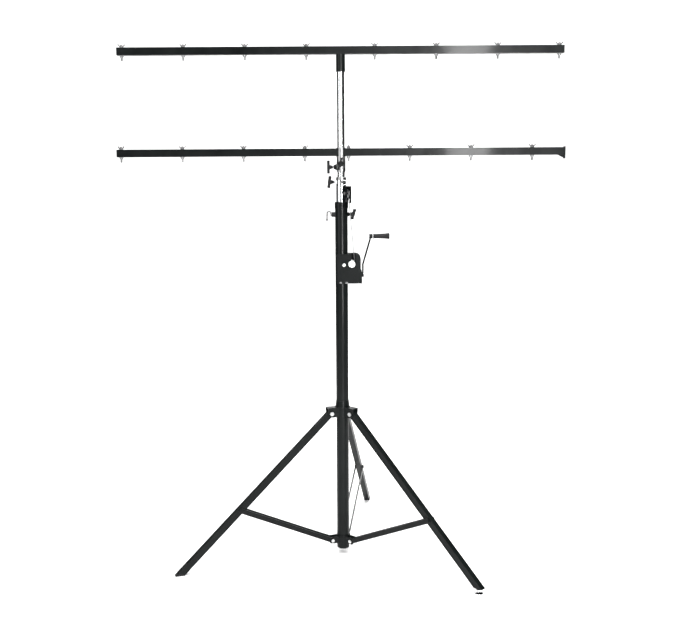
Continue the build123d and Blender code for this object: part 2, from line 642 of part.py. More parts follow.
# the cable's end sits in a slot of this bush
with BuildPart() as middle_foot_bush:
    tube(COLUMN_BORE_R - SLIDING, MIDDLE_R + SEATED, MIDDLE_BOTTOM, MIDDLE_BOTTOM + FOOT_BUSH_HEIGHT)
    slot_height = 2 * (INNER_RUN_BOTTOM - SEATED)
    with BuildSketch(outward(PULLEY_AZIMUTH, 0).offset(INSIDE)):
        with Locations((0, INNER_RUN_BOTTOM - SEATED + slot_height / 2)):
            Rectangle(2 * (CABLE_R + SEATED), slot_height)
    extrude(amount=INSIDE, mode=Mode.SUBTRACT)
write(middle_foot_bush, "middle_foot_bush")

SOCKET_CAP = 3.0
MAST_TOP = T_BAR_Z - BAR_SIDE / 2 - SOCKET_CAP - 0.5
FIRST_PIN_HOLE_Z = MAST_LOCK_Z + PIN_HOLE_PITCH
PIN_HOLES = 5

with BuildPart() as inner_mast:
    tube(INNER_R, INNER_BORE_R, INNER_BOTTOM, MAST_TOP)
    for hole in range(PIN_HOLES):
        hole_z = FIRST_PIN_HOLE_Z - hole * PIN_HOLE_PITCH
        rod(Plane((0, 0, hole_z), z_dir=(0, 1, 0)), PIN_HOLE_R, -20, 20, Mode.SUBTRACT)
write(inner_mast, "inner_mast")

with BuildPart() as inner_foot_bush:
    tube(MIDDLE_BORE_R - SLIDING, INNER_R + SEATED, INNER_BOTTOM, INNER_BOTTOM + INNER_BUSH_HEIGHT)
write(inner_foot_bush, "inner_foot_bush")

# T-bar -------------------------------------------------------------------------------------------------------

with BuildPart() as t_socket:
    rod(Plane.XY, SOCKET_R, SOCKET_BOTTOM, T_BAR_Z - BAR_SIDE / 2)
    chamfer(t_socket.edges().group_by(Axis.Z)[0], 1)
    rod(Plane.XY, INNER_R + SEATED, SOCKET_BOTTOM - 1, MAST_TOP + 0.5, Mode.SUBTRACT)
write(t_socket, "t_socket")

CAP_THICK = 2.0
BOLT_R = 4.0
SHANK_R = 3.9
BOLT_HOLE_R = 4.2
BOLT_REACH = 21.0
COLLAR_HEIGHT = 8.0
COLLAR_LOW_R = 6.5
COLLAR_TOP_R = 9.0
NUT_HEIGHT = 9.0
NUT_LOW_R = 7.5
NUT_TOP_R = 5.5
EAR_THICK = 3.0
PLUG_LENGTH = 10.0

t_bolts_x = []
for step in range(4):
    t_bolts_x.append(T_BOLT_INNER_X + step * T_BOLT_PITCH)
    t_bolts_x.append(-T_BOLT_INNER_X - step * T_BOLT_PITCH)
left_bolts_x = [LEFT_BOLT_X + step * SIDE_BOLT_PITCH for step in range(4)]
right_bolts_x = [RIGHT_BOLT_X + step * SIDE_BOLT_PITCH for step in range(4)]
side_bolts_x = left_bolts_x + right_bolts_x


def square_bar(start_x, end_x, height):
    """Add a square tube along X."""
    with BuildSketch(Plane.YZ.offset(start_x)) as section:
        with Locations((0, height)):
            Rectangle(BAR_SIDE, BAR_SIDE)
            Rectangle(BAR_BORE, BAR_BORE, mode=Mode.SUBTRACT)
    extrude(section.sketch, amount=end_x - start_x)


def bolt_holes(positions, height):
    """Cut the upright bolt holes of a bar."""
    for x in positions:
        rod(Plane((x, 0, height)), BOLT_HOLE_R, -BAR_SIDE, BAR_SIDE, Mode.SUBTRACT)


def end_cap(face_x, inward, height):
    """Add a plastic cap that plugs a bar's end."""
    face = Plane((face_x, 0, height), x_dir=(0, 1, 0), z_dir=(inward, 0, 0))
    with BuildSketch(face) as flat:
        RectangleRounded(BAR_SIDE, BAR_SIDE, 2)
    extrude(flat.sketch, amount=CAP_THICK)
    with BuildSketch(face.offset(CAP_THICK)) as plug:
        Rectangle(BAR_BORE - 0.4, BAR_BORE - 0.4)
    extrude(plug.sketch, amount=PLUG_LENGTH)


def bar_bolt(x, height):
    """Add a bolt hanging through a bar, with a conical collar against the bar's underside."""
    below = height - BAR_SIDE / 2
    above = height + BAR_SIDE / 2
    axis = Plane((x, 0, 0))
    rod(axis, BOLT_R, below - BOLT_REACH, below - COLLAR_HEIGHT)
    cone(axis, below - COLLAR_HEIGHT, COLLAR_LOW_R, below, COLLAR_TOP_R)
    rod(axis, SHANK_R, below, above + NUT_HEIGHT + 3)


def wing_nut(x, height, turn):
    """Add a wing nut on top of a bar, its two ears rising in a V."""
    above = height + BAR_SIDE / 2
    axis = Plane((x, 0, above))
    cone(axis, 0, NUT_LOW_R, NUT_HEIGHT, NUT_TOP_R)
    ears = Plane((x, 0, above), x_dir=(cos(radians(turn)), sin(radians(turn)), 0),
                 z_dir=(sin(radians(turn)), -cos(radians(turn)), 0))
    for side in (-1, 1):
        plate(ears, ((side * 4, 2), (side * 9, 4), (side * 14.5, 12), (side * 13, 14.5),
                     (side * 9, 13), (side * 4, 8)), EAR_THICK)
    rod(axis, SHANK_R + RUNNING, -1, NUT_HEIGHT + 1, Mode.SUBTRACT)


with BuildPart() as t_bar:
    square_bar(-T_BAR_HALF + CAP_THICK, T_BAR_HALF - CAP_THICK, T_BAR_Z)
    bolt_holes(t_bolts_x, T_BAR_Z)
write(t_bar, "t_bar")

with BuildPart() as t_bar_end_caps:
    end_cap(-T_BAR_HALF, 1, T_BAR_Z)
    end_cap(T_BAR_HALF, -1, T_BAR_Z)
write(t_bar_end_caps, "t_bar_end_caps")

with BuildPart() as t_bar_bolts:
    for x in t_bolts_x:
        bar_bolt(x, T_BAR_Z)
write(t_bar_bolts, "t_bar_bolts")

with BuildPart() as t_bar_nuts:
    for count, x in enumerate(t_bolts_x):
        wing_nut(x, T_BAR_Z, (count * 37) % 50 - 25)
write(t_bar_nuts, "t_bar_nuts")

# Side bars -------------------------------------------------------------------------------------------------------

PLATE_OVER = 4.0
PLATE_UNDER = 15.0
PLATE_THICK = 3.0
GUSSET = 26.0
BAR_GAP = 5.0
BOSS_START_R = 12.0
BOSS_END_R = 8.0
SIDE_KNOB_AXIS = outward(180, SIDE_KNOB_Z)
FRONT_KNOB_AXIS = outward(FRONT_KNOB_AZIMUTH, FRONT_KNOB_Z)
SLEEVE_BOSS_END = 30.0

with BuildPart() as side_bar_sleeve:
    for axis in (SIDE_KNOB_AXIS, FRONT_KNOB_AXIS):
        cone(axis, INSIDE + 0.5, BOSS_START_R, SLEEVE_BOSS_END, BOSS_END_R)
    rod(Plane.XY, SLEEVE_R, SLEEVE_BOTTOM, SLEEVE_TOP)
    rod(Plane.XY, INNER_R + SLIDING, SLEEVE_BOTTOM - 1, SLEEVE_TOP + 1, Mode.SUBTRACT)
    for axis in (SIDE_KNOB_AXIS, FRONT_KNOB_AXIS):
        rod(axis, KNOB_SCREW_R + RUNNING, INSIDE - 5, SLEEVE_BOSS_END + 1, Mode.SUBTRACT)
write(side_bar_sleeve, "side_bar_sleeve")

with BuildPart() as side_bar_left:
    square_bar(-SIDE_BAR_END + CAP_THICK, -BAR_GAP, SIDE_BAR_Z)
    bolt_holes(left_bolts_x, SIDE_BAR_Z)
    rod(Plane.XY, SLEEVE_R + SNUG, SLEEVE_BOTTOM, SLEEVE_TOP, Mode.SUBTRACT)
write(side_bar_left, "side_bar_left")

with BuildPart() as side_bar_right:
    square_bar(BAR_GAP, SIDE_BAR_END - PLATE_THICK, SIDE_BAR_Z)
    bolt_holes(right_bolts_x, SIDE_BAR_Z)
    bar_bottom = SIDE_BAR_Z - BAR_SIDE / 2
    bar_top = SIDE_BAR_Z + BAR_SIDE / 2
    plate_x = SIDE_BAR_END - PLATE_THICK
    block((plate_x, -BAR_SIDE / 2, bar_bottom - PLATE_UNDER),
          (SIDE_BAR_END, BAR_SIDE / 2, bar_top + PLATE_OVER))
    plate(front(0), ((plate_x - GUSSET, bar_bottom), (plate_x, bar_bottom),
                     (plate_x, bar_bottom - PLATE_UNDER + 2)), PLATE_THICK)
    rod(Plane.XY, SLEEVE_R + SNUG, SLEEVE_BOTTOM, SLEEVE_TOP, Mode.SUBTRACT)
write(side_bar_right, "side_bar_right")

with BuildPart() as side_bar_end_cap:
    end_cap(-SIDE_BAR_END, 1, SIDE_BAR_Z)
write(side_bar_end_cap, "side_bar_end_cap")

with BuildPart() as side_bar_bolts:
    for x in side_bolts_x:
        bar_bolt(x, SIDE_BAR_Z)
write(side_bar_bolts, "side_bar_bolts")

with BuildPart() as side_bar_nuts:
    for count, x in enumerate(side_bolts_x):
        near_sleeve = x == RIGHT_BOLT_X
        wing_nut(x, SIDE_BAR_Z, 80 if near_sleeve else (count * 31) % 50 - 25)
write(side_bar_nuts, "side_bar_nuts")

COLLAR_KNOB_AXIS = outward(COLLAR_KNOB_AZIMUTH, COLLAR_KNOB_Z)

# Knobs and safety pin ----------------------------------------------------------------------------------------------


def t_knob(axis, tip, hub_start, wing_turn):
    """Add a T-knob: a screw that starts at the tip's radius, a tapered hub and a cross wing."""
    wing_start = hub_start + KNOB_HUB_LENGTH
    rod(axis, KNOB_SCREW_R, tip, wing_start)
    cone(axis, hub_start, KNOB_NECK_R, wing_start, KNOB_HUB_R)
    with BuildSketch(axis.offset(wing_start)) as wing:
        SlotOverall(KNOB_WING, KNOB_WING_WIDTH, rotation=90 + wing_turn)
    extrude(wing.sketch, amount=KNOB_WING_THICK)


with BuildPart() as sleeve_side_knob:
    t_knob(SIDE_KNOB_AXIS, INNER_R + SLIDING, SLEEVE_KNOB_START, 0)
write(sleeve_side_knob, "sleeve_side_knob")

with BuildPart() as sleeve_front_knob:
    t_knob(FRONT_KNOB_AXIS, INNER_R + SLIDING, SLEEVE_KNOB_START, -17.6)
write(sleeve_front_knob, "sleeve_front_knob")

with BuildPart() as mast_knob:
    t_knob(MAST_KNOB_AXIS, INNER_R + SLIDING, MAST_KNOB_START, -27)
write(mast_knob, "mast_knob")

with BuildPart() as head_knob:
    t_knob(HEAD_KNOB_AXIS, MIDDLE_R + SLIDING, HEAD_KNOB_START, 40)
write(head_knob, "head_knob")

with BuildPart() as collar_lock_knob:
    t_knob(COLLAR_KNOB_AXIS, COLUMN_R + SLIDING, COLLAR_KNOB_START, 90)
write(collar_lock_knob, "collar_lock_knob")

PIN_EYE_R = 31.0
RING_R = 10.0
RING_WIRE_R = 1.3
RING_OFFSET = 9.5
RING_DROP = 3.1
PIN_HEAD_R = 7.0
PIN_HEAD_START = 24.0
PIN_HEAD_END = 27.0
PIN_EYE_WIDTH = 4.5
ring_centre = Vector(RING_OFFSET, -PIN_EYE_R, MAST_LOCK_Z - RING_DROP)

with BuildPart() as safety_pin:
    rod(PIN_AXIS, SAFETY_PIN_R, INNER_R + 0.5, PIN_HEAD_START)
    rod(PIN_AXIS, PIN_HEAD_R, PIN_HEAD_START, PIN_HEAD_END)
    rod(PIN_AXIS, PIN_EYE_WIDTH, PIN_HEAD_END, PIN_EYE_R + 3)
    with Locations(Plane(ring_centre, z_dir=(0, 1, 0))):
        Torus(RING_R, RING_WIRE_R + 0.35, mode=Mode.SUBTRACT)
        Torus(RING_R, RING_WIRE_R)
write(safety_pin, "safety_pin")

# Tripod --------------------------------------------------------------------------------------------------------------

COLLAR_LUG_SIDE = 15.5
COLLAR_LUG_THICK = 4.0
COLLAR_LUG_R = 68.0
COLLAR_FLANGE_TOP = 629.0
COLLAR_TOP = 655.0
COLLAR_BORE_R = COLUMN_R + SLIDING
BASE_LUG_SIDE = 13.5
BASE_LUG_THICK = 3.0
BASE_COLLAR_TOP = 78.5
BASE_COLLAR_BOTTOM = 46.0

with BuildPart() as leg_collar:
    rod(Plane.XY, COLLAR_R, COLLAR_BOTTOM, COLLAR_FLANGE_TOP)
    cone(Plane.XY, COLLAR_FLANGE_TOP, COLLAR_R, COLLAR_TOP, COLUMN_R + 1.3)
    for azimuth in AZIMUTHS:
        for side in (-COLLAR_LUG_SIDE, COLLAR_LUG_SIDE):
            plate(
                sideways(azimuth, side),
                ((-20, COLLAR_BOTTOM + 2), (-50, COLLAR_BOTTOM), (-64, COLLAR_BOTTOM + 8),
                 (-COLLAR_LUG_R, COLLAR_FLANGE_TOP - 12), (-COLLAR_LUG_R, COLLAR_FLANGE_TOP),
                 (-20, COLLAR_FLANGE_TOP)),
                COLLAR_LUG_THICK,
            )
        with BuildSketch(outward(azimuth, COLLAR_FLANGE_TOP - 1.5).offset(20)):
            Rectangle(2 * COLLAR_LUG_SIDE + COLLAR_LUG_THICK, 3)
        extrude(amount=COLLAR_LUG_R - 20)
        rod(sideways(azimuth, 0, PIVOT_R, LEG_PIVOT_Z), LEG_BOLT_R + SNUG, -20, 20, Mode.SUBTRACT)
    rod(COLLAR_KNOB_AXIS, COLLAR_BOSS_R, INSIDE, COLLAR_BOSS_END)
    rod(COLLAR_KNOB_AXIS, KNOB_SCREW_R + RUNNING, INSIDE, PAST_WALL, Mode.SUBTRACT)
    rod(Plane.XY, COLLAR_BORE_R, COLLAR_BOTTOM - 1, COLLAR_TOP + 1, Mode.SUBTRACT)
write(leg_collar, "leg_collar")

with BuildPart() as leg_pivot_bolts:
    for azimuth in AZIMUTHS:
        axis = sideways(azimuth, 0, PIVOT_R, LEG_PIVOT_Z)
        lug_out = COLLAR_LUG_SIDE + COLLAR_LUG_THICK / 2
        rod(axis, LEG_BOLT_R, -lug_out - 3, lug_out + 7)
        rod(axis, 8, -lug_out - 4, -lug_out)
        hexagon(axis, 9, lug_out, lug_out + 5)
write(leg_pivot_bolts, "leg_pivot_bolts")

with BuildPart() as bottom_collar:
    rod(Plane.XY, COLLAR_R, BASE_COLLAR_BOTTOM, BASE_COLLAR_TOP)
    for azimuth in AZIMUTHS:
        for side in (-BASE_LUG_SIDE, BASE_LUG_SIDE):
            plate(
                sideways(azimuth, side),
                ((-20, 48), (-60, 50), (-66, 56), (-66, 70), (-60, 76), (-20, 77)),
                BASE_LUG_THICK,
            )
        rod(sideways(azimuth, 0, PIVOT_R, STRUT_PIVOT_Z), STRUT_BOLT_R + SNUG, -20, 20, Mode.SUBTRACT)
    rod(Plane.XY, COLUMN_R + SEATED, BASE_COLLAR_BOTTOM - 1, BASE_COLLAR_TOP + 1, Mode.SUBTRACT)
write(bottom_collar, "bottom_collar")

STRUT_OUT = STRUT_SIDE + STRUT_THICK / 2

with BuildPart() as bottom_pivot_bolts:
    for azimuth in AZIMUTHS:
        axis = sideways(azimuth, 0, PIVOT_R, STRUT_PIVOT_Z)
        rod(axis, STRUT_BOLT_R, -STRUT_OUT - 2, STRUT_OUT + 5)
        rod(axis, 7, -STRUT_OUT - 3.5, -STRUT_OUT - 0.3)
        hexagon(axis, 7.5, STRUT_OUT + 0.3, STRUT_OUT + 4)
write(bottom_pivot_bolts, "bottom_pivot_bolts")


def leg(azimuth, cut_height):
    """Add a square-tube leg, cut off level with the floor at a height."""
    direction = polar(sin(LEG_TURN), azimuth, -cos(LEG_TURN))
    across = polar(0, azimuth, 0, 1)
    pivot = polar(PIVOT_R, azimuth, LEG_PIVOT_Z)
    length = LEG_PIVOT_Z / cos(LEG_TURN)
    top = Plane(pivot - direction * 13, x_dir=across, z_dir=direction)
    with BuildSketch(top) as section:
        Rectangle(LEG_SIDE, LEG_SIDE)
        Rectangle(LEG_BORE, LEG_BORE, mode=Mode.SUBTRACT)
    extrude(section.sketch, amount=length + 40)
    rod(sideways(azimuth, 0, PIVOT_R, LEG_PIVOT_Z), LEG_BOLT_R + RUNNING, -20, 20, Mode.SUBTRACT)
    foot_r = PIVOT_R + LEG_PIVOT_Z * sin(LEG_TURN) / cos(LEG_TURN)
    with Locations(polar(foot_r, azimuth, cut_height - 100)):
        Box(200, 200, 200, mode=Mode.SUBTRACT)


def level_section(azimuth, height, size, amount):
    """Add a piece of solid square bar in line with a leg, cut level at both ends."""
    direction = polar(sin(LEG_TURN), azimuth, -cos(LEG_TURN))
    radius = PIVOT_R + (LEG_PIVOT_Z - height) * sin(LEG_TURN) / cos(LEG_TURN)
    cut = Plane(polar(radius, azimuth, height), x_dir=polar(0, azimuth, 0, 1), z_dir=(0, 0, 1))
    with BuildSketch(cut) as section:
        Rectangle(size, size / cos(LEG_TURN))
    extrude(section.sketch, amount=amount / cos(LEG_TURN), dir=-direction)


for side_name, azimuth in (("rear", REAR_AZIMUTH), ("left", LEFT_AZIMUTH)):
    with BuildPart() as leg_tube:
        leg(azimuth, FOOT_HEIGHT)
    write(leg_tube, f"leg_{side_name}")
    with BuildPart() as foot:
        level_section(azimuth, 0, LEG_SIDE, FOOT_HEIGHT)
        level_section(azimuth, FOOT_HEIGHT, LEG_BORE - 0.2, 20)
    write(foot, f"leg_foot_{side_name}")

JACK_R = 5.0
JACK_NUT_HEIGHT = 9.0
JACK_PLATE = 3.0
JACK_NUT_R = 10.0
PAD_R = 18.0
PAD_EDGE = 4.0
PAD_TOP = 8.0
PAD_NECK_R = 9.0
jack_radius = PIVOT_R + (LEG_PIVOT_Z - JACK_CUT) * sin(LEG_TURN) / cos(LEG_TURN)
JACK_AXIS = Plane(polar(jack_radius, RIGHT_AZIMUTH))

# the right leg ends in a plate with a nut, for its levelling foot
with BuildPart() as leg_right:
    leg(RIGHT_AZIMUTH, JACK_CUT)
    level_section(RIGHT_AZIMUTH, JACK_CUT - JACK_PLATE, LEG_SIDE, JACK_PLATE)
    hexagon(JACK_AXIS, JACK_NUT_R, JACK_CUT - JACK_NUT_HEIGHT, JACK_CUT - JACK_PLATE)
    rod(JACK_AXIS, JACK_R + RUNNING, 0, JACK_CUT + 5, Mode.SUBTRACT)
write(leg_right, "leg_right")

with BuildPart() as levelling_foot:
    rod(JACK_AXIS, PAD_R, 0, PAD_EDGE)
    cone(JACK_AXIS, PAD_EDGE, PAD_R, PAD_TOP, PAD_NECK_R)
    rod(JACK_AXIS, JACK_R, PAD_TOP, JACK_CUT + 6)
write(levelling_foot, "levelling_foot")

strut_rise = STRUT_TOP_Z - STRUT_PIVOT_Z
strut_run = STRUT_TOP_R - PIVOT_R
strut_length = hypot(strut_rise, strut_run)
strut_tilt = degrees(atan2(strut_rise, strut_run))
RIVET_CLEARANCE = 0.4


def strut(azimuth):
    """Add a pair of strut bars, each with its half of the pivot that meets the leg."""
    for side in (-1, 1):
        middle = (PIVOT_R + STRUT_TOP_R) / 2
        height = (STRUT_PIVOT_Z + STRUT_TOP_Z) / 2
        with BuildSketch(sideways(azimuth, side * STRUT_SIDE, middle, height)) as bar:
            SlotCenterToCenter(strut_length, STRUT_WIDTH, rotation=180 - strut_tilt)
        extrude(bar.sketch, amount=STRUT_THICK / 2, both=True)
        lower = sideways(azimuth, 0, PIVOT_R, STRUT_PIVOT_Z)
        rod(lower, STRUT_BOLT_R + RUNNING, side * (STRUT_OUT + 1), side * 10, Mode.SUBTRACT)
        upper = sideways(azimuth, 0, STRUT_TOP_R, STRUT_TOP_Z)
        rod(upper, 7, side * (LEG_SIDE / 2 + RIVET_CLEARANCE), side * STRUT_SIDE)
        rod(upper, 6.5, side * STRUT_SIDE, side * (STRUT_OUT + 2.5))


for side_name, azimuth in (("rear", REAR_AZIMUTH), ("left", LEFT_AZIMUTH), ("right", RIGHT_AZIMUTH)):
    with BuildPart() as strut_pair:
        strut(azimuth)
    write(strut_pair, f"strut_{side_name}")
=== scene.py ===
"""Looks of the crank lighting stand: finishes, knobs, wing nuts, welds, studio floor, lights and camera."""

import json
from math import cos, pi, radians, sin

import bmesh
import bpy
from mathutils import Matrix, Vector


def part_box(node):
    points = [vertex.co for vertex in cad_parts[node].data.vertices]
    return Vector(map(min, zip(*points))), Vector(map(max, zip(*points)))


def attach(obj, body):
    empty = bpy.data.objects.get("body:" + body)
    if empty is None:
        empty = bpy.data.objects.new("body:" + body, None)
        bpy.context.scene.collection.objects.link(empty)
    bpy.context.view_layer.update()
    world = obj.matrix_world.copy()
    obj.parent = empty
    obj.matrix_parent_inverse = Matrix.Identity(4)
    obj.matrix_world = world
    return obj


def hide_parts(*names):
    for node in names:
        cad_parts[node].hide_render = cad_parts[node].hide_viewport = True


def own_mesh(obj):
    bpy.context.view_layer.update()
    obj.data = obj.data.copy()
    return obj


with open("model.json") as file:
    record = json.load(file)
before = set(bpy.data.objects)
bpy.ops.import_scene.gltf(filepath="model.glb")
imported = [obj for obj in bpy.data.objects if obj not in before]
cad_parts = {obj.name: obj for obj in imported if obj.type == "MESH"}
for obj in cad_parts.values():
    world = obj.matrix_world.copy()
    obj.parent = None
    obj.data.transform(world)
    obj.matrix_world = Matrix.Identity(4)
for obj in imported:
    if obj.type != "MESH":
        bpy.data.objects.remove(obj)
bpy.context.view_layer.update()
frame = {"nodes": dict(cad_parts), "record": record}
joints = {joint["name"]: joint for joint in frame["record"]["behaviour"]["joints"]}

MM = 0.001


# Node helpers -------------------------------------------------------------------------------------


class Finish:
    """A material under construction: a Principled shader and short ways to wire nodes into it."""

    def __init__(self, name, metallic, roughness):
        self.material = bpy.data.materials.new(name)
        self.material.use_nodes = True
        self.tree = self.material.node_tree
        self.shader = self.tree.nodes["Principled BSDF"]
        self.shader.inputs["Metallic"].default_value = metallic
        self.shader.inputs["Roughness"].default_value = roughness
        self.coords = self.add("ShaderNodeTexCoord")

    def add(self, kind, **settings):
        node = self.tree.nodes.new(kind)
        for key, value in settings.items():
            setattr(node, key, value)
        return node

    def link(self, source, target):
        self.tree.links.new(source, target)

    def stretched(self, stretch):
        """Object coordinates, scaled by a different amount along each axis."""
        mapping = self.add("ShaderNodeMapping")
        mapping.inputs["Scale"].default_value = stretch
        self.link(self.coords.outputs["Object"], mapping.inputs["Vector"])
        return mapping.outputs["Vector"]

    def noise(self, scale, detail=3.0, stretch=(1, 1, 1)):
        node = self.add("ShaderNodeTexNoise")
        node.inputs["Scale"].default_value = scale
        node.inputs["Detail"].default_value = detail
        self.link(self.stretched(stretch), node.inputs["Vector"])
        return node.outputs["Fac"]

    def spread(self, factor, low, high, to_low=0.0, to_high=1.0):
        """A factor between low and high, spread over a new range."""
        node = self.add("ShaderNodeMapRange")
        node.inputs["From Min"].default_value = low
        node.inputs["From Max"].default_value = high
        node.inputs["To Min"].default_value = to_low
        node.inputs["To Max"].default_value = to_high
        self.link(factor, node.inputs["Value"])
        return node.outputs["Result"]

    def times(self, first, second):
        node = self.add("ShaderNodeMath", operation="MULTIPLY")
        self.link(first, node.inputs[0])
        self.link(second, node.inputs[1])
        return node.outputs["Value"]

    def blend(self, factor, dark, light):
        """A colour between two others; each is a colour or another colour's socket."""
        node = self.add("ShaderNodeMix", data_type="RGBA")
        self.link(factor, node.inputs["Factor"])
        for value, socket in ((dark, node.inputs["A"]), (light, node.inputs["B"])):
            if isinstance(value, tuple):
                socket.default_value = (*value, 1)
            else:
                self.link(value, socket)
        return node.outputs["Result"]

    def rounded_edge(self, radius):
        """The surface normal with sharp edges rounded by a radius."""
        node = self.add("ShaderNodeBevel", samples=4)
        node.inputs["Radius"].default_value = radius
        return node.outputs["Normal"]

    def edge(self, rounded, low, high):
        """A mask that is one along sharp edges."""
        geometry = self.add("ShaderNodeNewGeometry")
        dot = self.add("ShaderNodeVectorMath", operation="DOT_PRODUCT")
        self.link(rounded, dot.inputs[0])
        self.link(geometry.outputs["Normal"], dot.inputs[1])
        return self.spread(dot.outputs["Value"], high, low)

    def bump(self, height, strength, distance, normal=None):
        node = self.add("ShaderNodeBump")
        node.inputs["Strength"].default_value = strength
        node.inputs["Distance"].default_value = distance
        self.link(height, node.inputs["Height"])
        if normal:
            self.link(normal, node.inputs["Normal"])
        return node.outputs["Normal"]

    def colour(self, socket):
        self.link(socket, self.shader.inputs["Base Color"])

    def roughness(self, socket):
        self.link(socket, self.shader.inputs["Roughness"])

    def normal(self, socket):
        self.link(socket, self.shader.inputs["Normal"])


# Finishes -----------------------------------------------------------------------------------------


def powder_coat():
    """Black powder coat: fine orange peel, slight dulling, and paint rubbed thin on sharp edges."""
    finish = Finish("black_powder_coat", 0.0, 0.4)
    finish.shader.inputs["Specular IOR Level"].default_value = 0.08
    finish.shader.inputs["Coat Weight"].default_value = 0.1
    finish.shader.inputs["Coat Roughness"].default_value = 0.09
    cloud = finish.noise(9, 4)
    paint = finish.blend(finish.spread(cloud, 0.3, 0.7), (0.002, 0.0027, 0.0027), (0.005, 0.0062, 0.0062))
    rounded = finish.rounded_edge(0.0009)
    chips = finish.spread(finish.noise(140, 5), 0.5, 0.66)
    worn = finish.times(finish.edge(rounded, 0.8, 0.97), chips)
    finish.colour(finish.blend(worn, paint, (0.05, 0.052, 0.052)))
    finish.roughness(finish.spread(finish.noise(35, 4), 0.3, 0.7, 0.3, 0.46))
    finish.normal(finish.bump(finish.noise(750, 2), 0.22, 0.0003, rounded))
    return finish.material


def chrome_tube():
    """Chrome-plated tube, with fine rub marks along it where it slides."""
    finish = Finish("chrome_tube", 1.0, 0.1)
    streaks = finish.noise(240, 4, (1, 1, 0.02))
    finish.colour(finish.blend(finish.spread(streaks, 0.35, 0.7), (0.5, 0.52, 0.53), (0.76, 0.77, 0.77)))
    smear = finish.noise(18, 4, (1, 1, 0.3))
    finish.roughness(finish.spread(smear, 0.3, 0.75, 0.2, 0.32))
    finish.normal(finish.bump(streaks, 0.012, 0.0001, finish.rounded_edge(0.0006)))
    return finish.material


def satin_sleeve():
    """Zinc-plated sleeve, turned, with fine rings round it."""
    finish = Finish("satin_sleeve", 1.0, 0.3)
    rings = finish.noise(300, 3, (0.05, 0.05, 3))
    finish.colour(finish.blend(rings, (0.22, 0.225, 0.225), (0.42, 0.42, 0.42)))
    finish.roughness(finish.spread(finish.noise(60, 4), 0.3, 0.7, 0.26, 0.42))
    finish.normal(finish.bump(rings, 0.12, 0.0002, finish.rounded_edge(0.0006)))
    return finish.material


def zinc_plate():
    """Bright zinc on fasteners and gears: mottled, with dulled patches."""
    finish = Finish("zinc_plate", 1.0, 0.3)
    patches = finish.add("ShaderNodeTexVoronoi")
    patches.inputs["Scale"].default_value = 260
    finish.link(finish.coords.outputs["Object"], patches.inputs["Vector"])
    mottle = finish.spread(patches.outputs["Distance"], 0.0, 0.9)
    finish.colour(finish.blend(mottle, (0.42, 0.43, 0.44), (0.66, 0.66, 0.65)))
    finish.roughness(finish.spread(finish.noise(120, 4), 0.3, 0.7, 0.22, 0.42))
    finish.normal(finish.bump(finish.noise(900, 3), 0.15, 0.0002, finish.rounded_edge(0.0005)))
    return finish.material


def dull_zinc():
    """Zinc that has gone grey, on the cast wing nuts."""
    finish = Finish("dull_zinc", 1.0, 0.42)
    cloud = finish.noise(160, 5)
    finish.colour(finish.blend(finish.spread(cloud, 0.3, 0.7), (0.07, 0.07, 0.072), (0.24, 0.24, 0.24)))
    finish.roughness(finish.spread(finish.noise(300, 3), 0.3, 0.7, 0.34, 0.55))
    finish.normal(finish.bump(finish.noise(1100, 3), 0.3, 0.0002, finish.rounded_edge(0.0005)))
    return finish.material


def threaded_zinc_groove_shade():
    """Zinc-plated screw with threading round its upright axis: the grooves are painted dark as painted shade
    and the crests light.
    """
    finish = Finish("threaded_zinc_groove_shade", 1.0, 0.28)
    wave = finish.add("ShaderNodeTexWave", wave_type="BANDS", bands_direction="Z")
    wave.inputs["Scale"].default_value = 250
    finish.link(finish.coords.outputs["Object"], wave.inputs["Vector"])
    thread_and_groove_shade = wave.outputs["Fac"]
    # painted shade: the thread's grooves are coloured dark and its crests light, standing in for shade in
    # the grooves
    finish.colour(finish.blend(thread_and_groove_shade, (0.1, 0.1, 0.1), (0.42, 0.42, 0.42)))
    finish.roughness(finish.spread(finish.noise(90, 3), 0.3, 0.7, 0.2, 0.4))
    finish.normal(finish.bump(thread_and_groove_shade, 0.6, 0.0004))
    return finish.material


def polished_steel():
    """Polished steel: small parts that hands rub bright."""
    finish = Finish("polished_steel", 1.0, 0.12)
    scuffs = finish.noise(420, 4, (1, 1, 0.15))
    finish.colour(finish.blend(scuffs, (0.66, 0.67, 0.68), (0.86, 0.86, 0.86)))
    finish.roughness(finish.spread(scuffs, 0.35, 0.75, 0.09, 0.24))
    finish.normal(finish.bump(scuffs, 0.05, 0.0002, finish.rounded_edge(0.0004)))
    return finish.material


def moulded_nylon():
    """Black moulded plastic with a fine spark-eroded grain."""
    finish = Finish("moulded_nylon", 0.0, 0.45)
    finish.shader.inputs["Specular IOR Level"].default_value = 0.15
    grain = finish.noise(1600, 2)
    cloud = finish.noise(25, 3)
    mottle = finish.spread(cloud, 0.3, 0.7)
    finish.colour(finish.blend(mottle, (0.004, 0.004, 0.0045), (0.009, 0.009, 0.0095)))
    finish.roughness(finish.spread(finish.noise(80, 3), 0.3, 0.7, 0.36, 0.55))
    finish.normal(finish.bump(grain, 0.25, 0.0002, finish.rounded_edge(0.0007)))
    return finish.material


